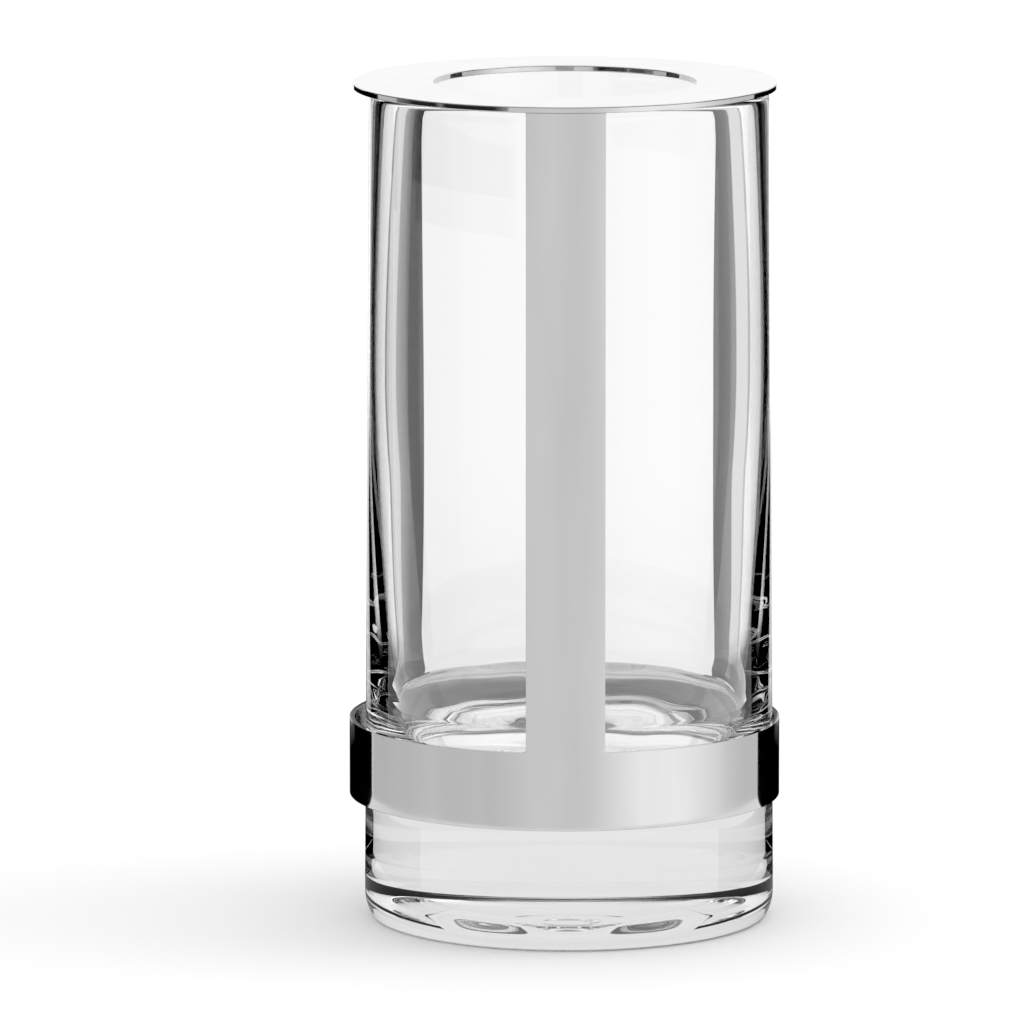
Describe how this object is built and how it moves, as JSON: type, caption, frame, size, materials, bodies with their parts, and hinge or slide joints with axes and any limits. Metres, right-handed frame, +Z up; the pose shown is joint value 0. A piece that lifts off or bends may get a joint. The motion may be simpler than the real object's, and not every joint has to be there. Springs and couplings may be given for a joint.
{
  "type": "candle lantern",
  "caption": "Candle lantern: heavy-bottomed clear glass cylinder in a loose polished holder with a flat top ring, a front strap and a low band.",
  "frame": {"origin": "centre of the holder's axis at the height of the surface that the glass stands on", "axes": "+Z up along the holder's axis; the strap faces -Y; +X is to the right of someone facing the strap"},
  "size_m": [0.1024, 0.1024, 0.2],
  "materials": {
    "clear_glass": "clear, fire-polished",
    "polished_plate": "mirror-polished plated steel",
    "solder": "plated over, less polished"
  },
  "bodies": {
    "glass": {"glass_cylinder": "clear_glass"},
    "holder": {"top_ring": "polished_plate", "strap_band": "polished_plate", "strap_solder": "solder", "band_seam": "solder"}
  },
  "joints": [
    {"name": "holder_lift", "type": "slide", "parent": "glass", "child": "holder", "axis": [0, 0, 1], "range_m": [0, 0.18]}
  ]
}
